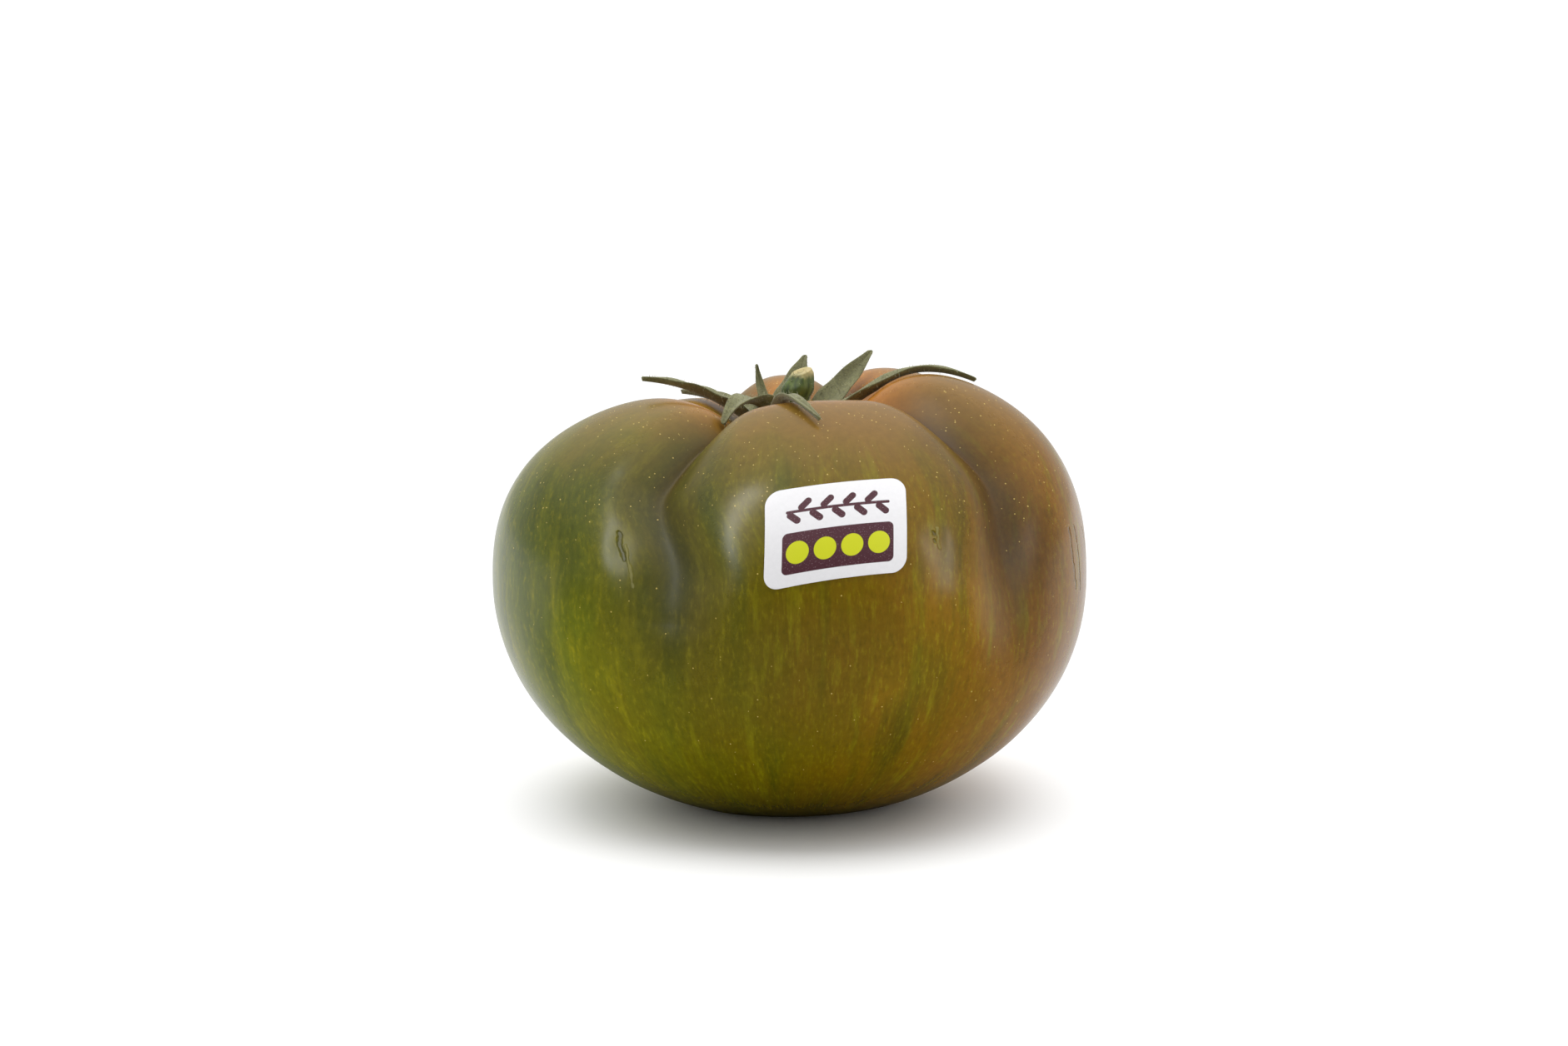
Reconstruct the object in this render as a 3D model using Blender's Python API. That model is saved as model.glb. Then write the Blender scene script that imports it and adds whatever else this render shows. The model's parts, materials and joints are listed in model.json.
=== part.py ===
# A ribbed beefsteak tomato with its calyx, a stub of stalk and a small label, lying on its flat spot.
# +Z is up and the labelled side faces -Y. The origin is on the ground, under the middle of the bounding box.
# Driving sizes are in millimetres and degrees. Directions run round the fruit, 0 in front, 90 on the right.

import math

import bmesh
import bpy
import numpy
from mathutils import Vector
from mathutils.bvhtree import BVHTree

METRES = 0.001

# Fruit: a squared-off ball, hollow round the stalk, cut into lobes that differ in height and in squareness.
BODY_RADIUS = 45.3
BELOW_EQUATOR = 36.1
FLAT_SLICE = 2.4
HOLLOW_DEPTH = 13.0
HOLLOW_RADIUS = 12.5
SCAR_RADIUS = 4.6
SCAR_DEPTH = 0.8
VALLEY_SHARE = 0.55
VALLEY_WIDTH = 9.0
CENTRING = (0.17, -1.32)

# Each lobe: direction and depth of the groove before it, height of its crest over the equator,
# how far it reaches past the body radius, how square its upper and its lower half are, and how far
# that groove has swung round by the time it reaches the equator.
LOBES = [
    (-33.0, 4.4, 33.1, -0.6, 2.20, 1.95, 9.5),
    (54.0, 3.6, 34.2, -0.5, 2.56, 2.05, -6.5),
    (105.5, 3.0, 34.2, 1.8, 2.12, 1.85, 0.0),
    (160.0, 3.6, 31.3, 2.1, 2.30, 1.95, 5.0),
    (205.0, 3.2, 28.2, 0.5, 2.32, 1.75, -4.0),
    (258.0, 2.4, 30.6, 0.1, 2.54, 2.02, 0.0),
]
COLUMNS_PER_LOBE = 12
FRUIT_RINGS = 40

# Calyx: a thick disc in the hollow, with one sepal per line below.
GAP = 0.3
DISC_RADIUS = 5.6
DISC_TOP = 56.5
SEPAL_START = 3.4
SEPAL_THICKNESS = 1.0
SEPAL_STATIONS = 12
# Each sepal: direction, climb at its root and at its tip, turn to the side, roll, length and width.
SEPALS = [
    (-80.0, 42.0, 4.0, 6.0, 0.0, 21.8, 5.4),
    (-38.0, 74.0, -66.0, 2.0, 0.0, 17.5, 6.6),
    (-14.0, 28.0, -42.0, 52.0, 0.0, 28.0, 3.4),
    (84.0, 50.0, -42.0, 16.0, 0.0, 28.0, 4.2),
    (132.0, 42.0, 38.0, 0.0, -40.0, 17.5, 5.8),
    (181.0, 50.0, 58.0, -40.0, 0.0, 13.2, 7.2),
    (-152.0, 26.0, 84.0, 4.0, 0.0, 12.4, 3.0),
    (-128.0, 28.0, -4.0, -8.0, 0.0, 20.0, 5.2),
]

# Stalk: a swollen stub, cut off on a slant that faces the front left.
STALK_FOOT = 57.6
STALK_TOP = 64.9
STALK_RADIUS = 1.7
KNUCKLE_RADIUS = 2.45
STALK_LEAN = 1.6
CUT_SLANT = 0.36
CUT_DIRECTION = -55.0

# Label: a thin sheet that follows the skin.
LABEL_SIZE = (20.4, 14.2)
LABEL_CORNER = 2.2
LABEL_THICKNESS = 0.4
LABEL_CENTRE = (6.6, 47.5)
LABEL_RISE = 5.9
LABEL_LEAN = 4.2
LABEL_GRID = (14, 10)


def smooth_step(low, high, value):
    share = numpy.clip((value - low) / (high - low), 0.0, 1.0)
    return share * share * (3.0 - 2.0 * share)


def place_in_lobes(direction):
    # Which lobe a direction lies in, and how far along from its first groove to the next.
    starts = numpy.array([lobe[0] for lobe in LOBES])
    edges = numpy.append(starts, starts[0] + 360.0)
    wrapped = (direction - starts[0]) % 360.0 + starts[0]
    index = numpy.clip(numpy.searchsorted(edges, wrapped, side="right") - 1, 0, len(LOBES) - 1)
    share = (wrapped - edges[index]) / (edges[index + 1] - edges[index])
    return index, share


def blend(direction, field):
    # A lobe has its own value at its middle, and the mean with its neighbour's at their groove.
    index, share = place_in_lobes(direction)
    values = numpy.array([lobe[field] for lobe in LOBES])
    beside = numpy.where(share < 0.5, values[(index - 1) % len(LOBES)], values[(index + 1) % len(LOBES)])
    away = numpy.abs(2.0 * share - 1.0)
    return values[index] + (beside - values[index]) * 0.5 * away**2


def profile(direction, latitude):
    # Distance from the axis and height over the equator, before the grooves are pressed in.
    crest = blend(direction, 2)
    reach = blend(direction, 3)
    below = latitude < 0.0
    power = numpy.where(below, blend(direction, 5), blend(direction, 4))
    cosine = numpy.maximum(numpy.cos(latitude), 0.0)
    distance = (BODY_RADIUS + reach) * cosine ** (2.0 / power)
    near_stalk = numpy.exp(-((distance / HOLLOW_RADIUS) ** 2))
    mean_crest = sum(lobe[2] for lobe in LOBES) / len(LOBES)
    crest = crest + (mean_crest - crest) * near_stalk
    height = numpy.where(below, -BELOW_EQUATOR, crest) * numpy.abs(numpy.sin(latitude)) ** (2.0 / power)
    height = height - numpy.where(below, 0.0, HOLLOW_DEPTH * near_stalk)
    return distance, height


def groove_depth(direction, latitude, distance):
    # A sharp crease on the shoulders that widens and fades downwards, in the middle of a soft valley.
    index, share = place_in_lobes(direction)
    starts = numpy.array([lobe[0] for lobe in LOBES])
    widths = numpy.diff(numpy.append(starts, starts[0] + 360.0))
    offset = numpy.minimum(share, 1.0 - share) * widths[index]
    depths = numpy.array([lobe[1] for lobe in LOBES])
    depth = numpy.where(share < 0.5, depths[index], depths[(index + 1) % len(LOBES)])
    degrees = numpy.degrees(latitude)
    rounding = 0.012 + 0.11 * (1.0 - smooth_step(10.0, 52.0, degrees))
    crease = 1.0 - numpy.clip(numpy.hypot(4.0 * share * (1.0 - share), rounding), 0.0, 1.0) ** 0.55
    swell = numpy.cos(numpy.pi * share) ** 2
    sharpness = smooth_step(-34.0, 24.0, degrees)
    strength = 0.42 * smooth_step(-50.0, 15.0, degrees) + 0.58 * smooth_step(-6.0, 46.0, degrees)
    strength = strength * smooth_step(1.5, 13.0, distance)
    valley = VALLEY_SHARE * depth * numpy.exp(-((offset / VALLEY_WIDTH) ** 2))
    valley = valley * smooth_step(-22.0, 16.0, degrees) * smooth_step(4.0, 20.0, distance)
    return depth * strength * (sharpness * crease + (1.0 - sharpness) * swell) + valley


def swing_round(direction, latitude):
    # The grooves don't run straight down, and the skin between two of them swings with both.
    index, share = place_in_lobes(direction)
    swings = numpy.array([lobe[6] for lobe in LOBES])
    beside = swings[(index + 1) % len(LOBES)]
    swing = swings[index] + (beside - swings[index]) * smooth_step(0.0, 1.0, share)
    return direction + swing * (1.0 - smooth_step(8.0, 38.0, numpy.degrees(latitude)))


def fruit_points(direction, latitude):
    # The skin in millimetres: the profile, pressed inwards across itself by the depth of the grooves.
    distance, height = profile(direction, latitude)
    further = profile(direction, numpy.minimum(latitude + 0.0001, math.pi / 2.0))
    nearer = profile(direction, numpy.maximum(latitude - 0.0001, -math.pi / 2.0))
    across = further[0] - nearer[0]
    along = further[1] - nearer[1]
    length = numpy.hypot(across, along) + 1e-12
    depth = groove_depth(direction, latitude, distance)
    distance = distance - depth * along / length
    height = height + depth * across / length
    height = numpy.maximum(height + BELOW_EQUATOR - FLAT_SLICE, 0.0)
    scar = SCAR_DEPTH * (1.0 - smooth_step(0.35 * SCAR_RADIUS, SCAR_RADIUS, distance))
    height = height + numpy.where(latitude < 0.0, scar, 0.0)
    turn = numpy.radians(swing_round(direction, latitude))
    x = distance * numpy.sin(turn) + CENTRING[0]
    y = -distance * numpy.cos(turn) + CENTRING[1]
    return numpy.stack([x, y, height], axis=-1)


def ball(columns, rings):
    # A ball whose vertices are known by their column and ring, to be moved onto any closed shape.
    shape = bmesh.new()
    bmesh.ops.create_uvsphere(shape, u_segments=columns, v_segments=rings, radius=1.0)
    places = []
    for vertex in shape.verts:
        column = round(math.atan2(vertex.co.y, vertex.co.x) / (2.0 * math.pi) * columns) % columns
        ring = round((math.asin(max(-1.0, min(1.0, vertex.co.z))) / math.pi + 0.5) * rings)
        places.append((vertex, column, ring))
    return shape, places


def finish(shape, name, material):
    bmesh.ops.recalc_face_normals(shape, faces=shape.faces)
    bmesh.ops.scale(shape, vec=(METRES, METRES, METRES), verts=shape.verts)
    mesh = bpy.data.meshes.new(name)
    shape.to_mesh(mesh)
    shape.free()
    mesh.shade_smooth()
    made = bpy.data.objects.new(name, mesh)
    bpy.context.scene.collection.objects.link(made)
    if material is not None:
        made.data.materials.append(material)
    return made


def plain_material(name, colour, roughness):
    made = bpy.data.materials.new(name)
    made.use_nodes = True
    surface = made.node_tree.nodes["Principled BSDF"]
    surface.inputs["Base Color"].default_value = (*colour, 1.0)
    surface.inputs["Roughness"].default_value = roughness
    surface.inputs["Metallic"].default_value = 0.0
    made.diffuse_color = (*colour, 1.0)
    return made


def make_fruit(material):
    shape, places = ball(COLUMNS_PER_LOBE * len(LOBES), FRUIT_RINGS)
    edges = [lobe[0] for lobe in LOBES] + [LOBES[0][0] + 360.0]
    directions = []
    latitudes = []
    for _, column, ring in places:
        lobe, step = divmod(column, COLUMNS_PER_LOBE)
        share = step / COLUMNS_PER_LOBE
        # Columns stand closer together beside the grooves.
        share = 0.6 * (0.5 - 0.5 * math.cos(math.pi * share)) + 0.4 * share
        directions.append(edges[lobe] + (edges[lobe + 1] - edges[lobe]) * share)
        latitudes.append((ring / FRUIT_RINGS - 0.5) * math.pi)
    points = fruit_points(numpy.array(directions), numpy.array(latitudes))
    for (vertex, _, _), point in zip(places, points):
        vertex.co = Vector(point)
    shape.normal_update()
    skin = BVHTree.FromBMesh(shape)
    return finish(shape, "fruit", material), skin


def skin_height(skin, x, y):
    hit = skin.ray_cast(Vector((x, y, 200.0)), Vector((0.0, 0.0, -1.0)))
    return hit[0].z if hit[0] else 0.0


def sepal_line(skin, direction, climb, end_climb, turn, length):
    # The middle line of a sepal, kept clear of the skin below it and then eased.
    stations = SEPAL_STATIONS
    turn_at_root = math.radians(direction)
    start_x = SEPAL_START * math.sin(turn_at_root) + CENTRING[0]
    start_y = -SEPAL_START * math.cos(turn_at_root) + CENTRING[1]
    here = Vector((start_x, start_y, DISC_TOP - 0.9))
    line = [here.copy()]
    for station in range(stations):
        share = (station + 0.5) / stations
        pitch = math.radians(climb + (end_climb - climb) * share**1.2)
        heading = math.radians(direction + turn * share)
        level = math.cos(pitch)
        step = Vector((level * math.sin(heading), -level * math.cos(heading), math.sin(pitch)))
        here = here + step * (length / stations)
        line.append(here.copy())
    for index in range(2, len(line)):
        point = line[index]
        point.z = max(point.z, skin_height(skin, point.x, point.y) + 1.15)
    for _ in range(2):
        eased = [point.copy() for point in line]
        for index in range(2, len(line) - 1):
            eased[index].z = 0.25 * line[index - 1].z + 0.5 * line[index].z + 0.25 * line[index + 1].z
        line = eased
    return line


def make_sepal(skin, name, direction, climb, end_climb, turn, roll, length, width):
    line = sepal_line(skin, direction, climb, end_climb, turn, length)
    shape, places = ball(10, SEPAL_STATIONS)
    for vertex, column, station in places:
        share = station / SEPAL_STATIONS
        before = line[max(station - 1, 0)]
        after = line[min(station + 1, SEPAL_STATIONS)]
        forward = (after - before).normalized()
        side = forward.cross(Vector((0.0, 0.0, 1.0))).normalized()
        up = side.cross(forward)
        angle = math.radians(roll) * float(smooth_step(0.15, 0.9, share))
        flat_side = side
        side = flat_side * math.cos(angle) + up * math.sin(angle)
        up = up * math.cos(angle) - flat_side * math.sin(angle)
        swell = 0.62 + 0.38 * float(smooth_step(0.0, 0.3, share))
        half = 0.5 * width * swell * (1.0 - 0.86 * share**1.7)
        thick = SEPAL_THICKNESS * (1.25 - 0.5 * share)
        if station in (0, SEPAL_STATIONS):
            across, lift = 0.0, 0.0
        else:
            around = 2.0 * math.pi * column / 10
            across = math.cos(around)
            lift = 0.5 * thick * math.copysign(abs(math.sin(around)) ** 0.75, math.sin(around))
            # The edges curl up beside a raised keel.
            lift += 0.30 * half * across**2
            if math.sin(around) < 0.0:
                lift -= 0.25 * (1.0 - abs(across)) ** 2
        point = line[station] + side * (half * across) + up * lift
        floor = skin_height(skin, point.x, point.y) + GAP + 0.08
        if point.z < floor:
            point.z = floor + 0.6 * max(0.0, lift)
        vertex.co = point
    return finish(shape, name, None)


def make_disc(skin):
    shape, places = ball(24, 10)
    for vertex, column, ring in places:
        latitude = (ring / 10 - 0.5) * math.pi
        distance = DISC_RADIUS * math.cos(latitude) ** 0.7 if 0 < ring < 10 else 0.0
        around = 2.0 * math.pi * column / 24
        x = distance * math.cos(around) + CENTRING[0]
        y = distance * math.sin(around) + CENTRING[1]
        under = skin_height(skin, x, y) + GAP + 0.08
        over = DISC_TOP + 0.5 * (1.0 - (distance / DISC_RADIUS) ** 2)
        vertex.co = (x, y, under + (over - under) * (0.5 + 0.5 * math.sin(latitude)))
    return finish(shape, "calyx", None)


def make_calyx(skin, material):
    calyx = make_disc(skin)
    calyx.data.materials.append(material)
    sepals = bpy.data.collections.new("sepals")
    bpy.context.scene.collection.children.link(sepals)
    for number, sepal in enumerate(SEPALS):
        made = make_sepal(skin, f"sepal_{number}", *sepal)
        bpy.context.scene.collection.objects.unlink(made)
        sepals.objects.link(made)
    join = calyx.modifiers.new("join", "BOOLEAN")
    join.operation = "UNION"
    join.operand_type = "COLLECTION"
    join.collection = sepals
    join.solver = "EXACT"
    join.use_self = True
    bpy.context.view_layer.objects.active = calyx
    bpy.ops.object.modifier_apply(modifier=join.name)
    for made in list(sepals.objects):
        bpy.data.objects.remove(made)
    bpy.data.collections.remove(sepals)
    calyx.data.shade_smooth()
    return calyx


def make_stalk(material):
    shape, places = ball(16, 14)
    height = STALK_TOP - STALK_FOOT
    cut_turn = math.radians(CUT_DIRECTION)
    for vertex, column, ring in places:
        # The first two and the last two rings are the ends, and the others climb the stub.
        climb = min(max((ring - 1) / 12.0, 0.0), 1.0)
        knuckle = math.exp(-(((climb - 0.66) / 0.24) ** 2))
        flare = math.exp(-((climb / 0.16) ** 2))
        radius = STALK_RADIUS + (KNUCKLE_RADIUS - STALK_RADIUS) * knuckle + 0.7 * flare
        if climb > 0.93:
            radius *= 0.85
        if ring in (0, 14):
            radius = 0.0
        around = 2.0 * math.pi * column / 16
        lean = STALK_LEAN * climb
        x = radius * math.cos(around)
        y = radius * math.sin(around)
        slant = CUT_SLANT * float(smooth_step(0.6, 1.0, climb))
        fall = slant * (x * math.sin(cut_turn) - y * math.cos(cut_turn))
        vertex.co = (x + lean + CENTRING[0], y + CENTRING[1], STALK_FOOT + height * climb - fall)
    return finish(shape, "stalk", material)


def make_label(skin, material):
    side_on = Vector((LABEL_CENTRE[0], -200.0, LABEL_CENTRE[1]))
    centre, normal, _, _ = skin.ray_cast(side_on, Vector((0.0, 1.0, 0.0)))
    level = Vector((0.0, 0.0, 1.0)).cross(normal).normalized()
    rise = normal.cross(level)
    climb = math.radians(LABEL_RISE)
    lean = math.radians(LABEL_LEAN)
    right = level * math.cos(climb) + rise * math.sin(climb)
    up = rise * math.cos(lean) + level * math.sin(lean)
    shape = bmesh.new()
    bmesh.ops.create_grid(shape, x_segments=LABEL_GRID[0], y_segments=LABEL_GRID[1], size=0.5)
    for vertex in shape.verts:
        across = vertex.co.x * LABEL_SIZE[0]
        over = vertex.co.y * LABEL_SIZE[1]
        # In each corner the square of the grid is rounded into a quarter disc.
        past_x = max(abs(across) - (0.5 * LABEL_SIZE[0] - LABEL_CORNER), 0.0) / LABEL_CORNER
        past_y = max(abs(over) - (0.5 * LABEL_SIZE[1] - LABEL_CORNER), 0.0) / LABEL_CORNER
        trim_x = LABEL_CORNER * past_x * (1.0 - math.sqrt(1.0 - 0.5 * past_y**2))
        trim_y = LABEL_CORNER * past_y * (1.0 - math.sqrt(1.0 - 0.5 * past_x**2))
        across -= math.copysign(trim_x, across)
        over -= math.copysign(trim_y, over)
        start = centre + right * across + up * over + normal * 30.0
        hit = skin.ray_cast(start, -normal)[0]
        vertex.co = hit + normal * (GAP + 0.06)
    sheet = bmesh.ops.extrude_face_region(shape, geom=list(shape.faces), use_keep_orig=True)
    for item in sheet["geom"]:
        if isinstance(item, bmesh.types.BMVert):
            item.co += normal * LABEL_THICKNESS
    made = finish(shape, "label", material)
    made.data.set_sharp_from_angle(angle=math.radians(50.0))
    return made


for old in list(bpy.data.objects):
    bpy.data.objects.remove(old)

fruit_skin = plain_material("olive brown tomato skin", (0.16, 0.105, 0.028), 0.32)
leaf_green = plain_material("dull green calyx", (0.10, 0.13, 0.045), 0.75)
stalk_green = plain_material("green stalk", (0.13, 0.19, 0.035), 0.6)
label_white = plain_material("white coated paper", (0.86, 0.86, 0.84), 0.35)

fruit, skin_tree = make_fruit(fruit_skin)
make_calyx(skin_tree, leaf_green)
make_stalk(stalk_green)
make_label(skin_tree, label_white)
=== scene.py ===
import json
import math
import random
from functools import partial

import bmesh
import bpy
import numpy as np
from mathutils import Matrix, Vector, noise
from mathutils.bvhtree import BVHTree

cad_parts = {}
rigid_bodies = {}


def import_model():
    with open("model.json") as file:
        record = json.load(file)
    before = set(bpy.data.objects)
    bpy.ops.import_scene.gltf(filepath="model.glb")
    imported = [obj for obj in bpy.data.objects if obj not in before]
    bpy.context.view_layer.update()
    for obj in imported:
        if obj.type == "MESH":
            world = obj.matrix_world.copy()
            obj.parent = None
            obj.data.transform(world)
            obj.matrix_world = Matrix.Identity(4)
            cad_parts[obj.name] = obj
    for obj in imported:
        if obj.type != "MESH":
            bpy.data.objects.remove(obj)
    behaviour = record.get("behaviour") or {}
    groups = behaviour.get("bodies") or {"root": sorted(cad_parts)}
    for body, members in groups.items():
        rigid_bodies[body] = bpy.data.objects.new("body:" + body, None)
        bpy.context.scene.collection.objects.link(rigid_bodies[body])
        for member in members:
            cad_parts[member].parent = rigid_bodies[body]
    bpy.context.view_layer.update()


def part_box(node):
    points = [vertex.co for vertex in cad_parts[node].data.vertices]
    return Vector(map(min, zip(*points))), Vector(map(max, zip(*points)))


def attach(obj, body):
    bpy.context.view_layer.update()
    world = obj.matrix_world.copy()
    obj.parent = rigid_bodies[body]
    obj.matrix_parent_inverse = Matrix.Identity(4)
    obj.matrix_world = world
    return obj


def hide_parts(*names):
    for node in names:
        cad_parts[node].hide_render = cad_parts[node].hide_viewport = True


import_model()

mm = 0.001


# small helpers shared by every piece

def toLinear(hexColour):
    # an sRGB hex value as the linear RGBA that the shader sockets take
    channels = [int(hexColour[i:i + 2], 16) / 255 for i in (1, 3, 5)]
    return [c / 12.92 if c <= 0.04045 else ((c + 0.055) / 1.055) ** 2.4 for c in channels] + [1.0]


def addNode(tree, kind, values=None, links=None, **settings):
    # a link comes from a socket, or from a node and then from the first of its outputs in use
    made = tree.nodes.new("ShaderNode" + kind)
    for name, value in settings.items():
        setattr(made, name, value)
    for socket, value in (values or {}).items():
        made.inputs[socket].default_value = value
    for socket, source in (links or {}).items():
        if isinstance(source, bpy.types.Node):
            source = next(output for output in source.outputs if output.enabled)
        tree.links.new(source, made.inputs[socket])
    return made


def startMaterial(name):
    # an empty material, what adds nodes to it, and the place on its object in millimetres
    material = bpy.data.materials.new(name)
    material.use_nodes = True
    material.node_tree.nodes.clear()
    add = partial(addNode, material.node_tree)
    place = add("TexCoord")
    inMm = add("Mapping", {"Scale": (1 / mm, 1 / mm, 1 / mm)}, {"Vector": place.outputs["Object"]})
    return material, add, inMm


def spans(start, end, least=0.0, most=1.0):
    # settings that turn one range of a value into another
    return {"From Min": start, "From Max": end, "To Min": least, "To Max": most}


smooth = {"interpolation_type": "SMOOTHSTEP"}


def layOver(add, colour, ink, share, *factors):
    # an ink over a colour, by a share that is multiplied by the factors
    for factor in factors:
        values, links = ({1: factor}, {}) if isinstance(factor, float) else ({}, {1: factor})
        share = add("Math", values, {0: share, **links}, operation="MULTIPLY")
    values, links = ({7: toLinear(ink)}, {}) if isinstance(ink, str) else ({}, {7: ink})
    return add("Mix", values, {0: share, 6: colour, **links}, data_type="RGBA")


def finishMaterial(add, values, links):
    surface = add("BsdfPrincipled", values, links)
    add("OutputMaterial", links={"Surface": surface})


def setStops(ramp, stops):
    elements = ramp.color_ramp.elements
    for index, (where, colour) in enumerate(stops):
        stop = elements[index] if index < 2 else elements.new(where)
        stop.position = where
        stop.color = toLinear(colour)


def ease(low, high, value):
    share = np.clip((value - low) / (high - low), 0.0, 1.0)
    return share * share * (3.0 - 2.0 * share)


def numberedBall(columns, rings):
    # a ball whose vertices are known by column and ring, so that a formula can move them onto a closed shape
    shape = bmesh.new()
    bmesh.ops.create_uvsphere(shape, u_segments=columns, v_segments=rings, radius=1.0)
    places = []
    for vertex in shape.verts:
        column = round(math.atan2(vertex.co.y, vertex.co.x) / (2 * math.pi) * columns) % columns
        ring = round((math.asin(max(-1.0, min(1.0, vertex.co.z))) / math.pi + 0.5) * rings)
        places.append((vertex, column, ring))
    return shape, places


def keepInside(shape, node, margin=0.02):
    # no vertex leaves the box of the solid that the piece stands for
    low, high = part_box(node)
    for vertex in shape.verts:
        vertex.co = [min(max(vertex.co[i], low[i] / mm + margin), high[i] / mm - margin) for i in range(3)]


def distanceToLine(add, place, start, end):
    along = Vector(end) - Vector(start)
    passed = add("VectorMath", {1: start}, {0: place}, operation="SUBTRACT")
    perLength = along / along.length_squared
    share = add("VectorMath", {1: perLength}, {0: passed}, operation="DOT_PRODUCT")
    kept = add("Clamp", links={"Value": share})
    nearest = add("VectorMath", {0: along}, {"Scale": kept}, operation="SCALE")
    return add("VectorMath", links={0: passed, 1: nearest}, operation="DISTANCE")


def distanceToMarks(add, skin, place, marks):
    # each mark is a run of points on the skin and half its width, which the distance is counted in
    nearest = None
    for stops, half in marks:
        points = [onSkin(skin, *stop) for stop in stops]
        for start, end in zip(points, points[1:]):
            away = distanceToLine(add, place, start, end)
            away = add("Math", {1: half}, {0: away}, operation="DIVIDE")
            if nearest is not None:
                away = add("Math", links={0: nearest, 1: away}, operation="MINIMUM")
            nearest = away
    return nearest


def toObject(shape, name, material=None):
    # millimetres while modelling, metres in the finished mesh, with the object left at the origin
    bmesh.ops.scale(shape, vec=(mm, mm, mm), verts=shape.verts)
    mesh = bpy.data.meshes.new(name)
    shape.to_mesh(mesh)
    shape.free()
    mesh.shade_smooth()
    piece = bpy.data.objects.new(name, mesh)
    bpy.context.scene.collection.objects.link(piece)
    if material:
        mesh.materials.append(material)
    return piece


def addToPoints(piece, name, values):
    # a number or a vector for each vertex, which the materials read
    vectors = np.ndim(values) > 1
    attribute = piece.data.attributes.new(name, "FLOAT_VECTOR" if vectors else "FLOAT", "POINT")
    attribute.data.foreach_set("vector" if vectors else "value", np.array(values, np.float32).ravel())


def setInFrame(piece, node):
    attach(piece, "root")
    if node:
        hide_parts(node)


# camera at the photograph's height and distance, 85 mm on a 36 mm wide frame

cameraSettings = {"lens": 85.0, "sensor": 36.0, "aim": (-0.83, -1.6, 41.9), "tilt": 9.0, "distance": 558.6,
                  "clip": (0.01, 50.0)}


def setCamera(settings):
    data = bpy.data.cameras.new("camera")
    data.lens = settings["lens"]
    data.sensor_width = settings["sensor"]
    data.clip_start, data.clip_end = settings["clip"]
    camera = bpy.data.objects.new("camera", data)
    tilt = math.radians(settings["tilt"])
    back = Vector((0.0, -math.cos(tilt), math.sin(tilt)))
    camera.location = (Vector(settings["aim"]) + back * settings["distance"]) * mm
    camera.rotation_euler = back.to_track_quat("Z", "Y").to_euler()
    bpy.context.scene.collection.objects.link(camera)
    bpy.context.scene.camera = camera


setCamera(cameraSettings)
print("camera set")


# fruit: the same formula as the solid, on a far finer ball

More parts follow.
